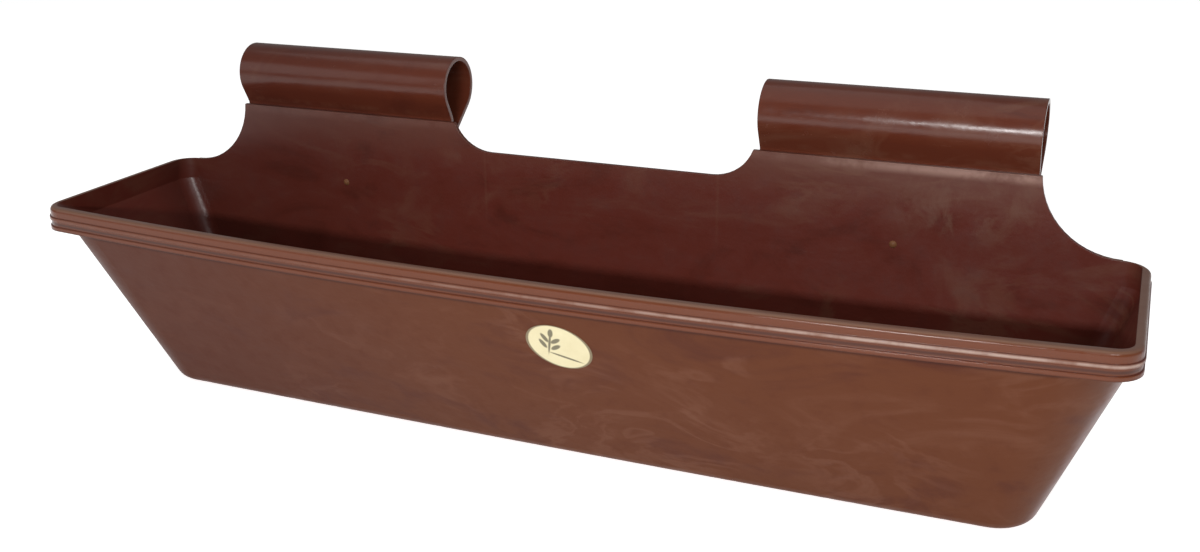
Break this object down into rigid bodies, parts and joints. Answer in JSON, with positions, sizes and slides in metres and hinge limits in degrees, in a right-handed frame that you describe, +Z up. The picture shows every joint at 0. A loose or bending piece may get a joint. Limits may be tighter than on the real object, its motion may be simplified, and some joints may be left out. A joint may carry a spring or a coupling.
{
  "type": "hook over trough",
  "caption": "Long open feed trough with a bowed front, a rolled rim and two curled hooks on its back wall that hang it over a rail",
  "frame": {"origin": "centre of the underside of the base", "axes": "+X along the length, -Y to the front wall, +Z up"},
  "size_m": [1, 0.2852, 0.3275],
  "materials": {
    "trough_plastic": "satin",
    "hook_plastic": "satin",
    "rivet_metal": "satin",
    "label_film": "matt"
  },
  "bodies": {
    "root": {"trough_body": "trough_plastic", "left_hook": "hook_plastic", "right_hook": "hook_plastic", "left_rivet": "rivet_metal", "right_rivet": "rivet_metal", "label": "label_film"}
  },
  "joints": []
}
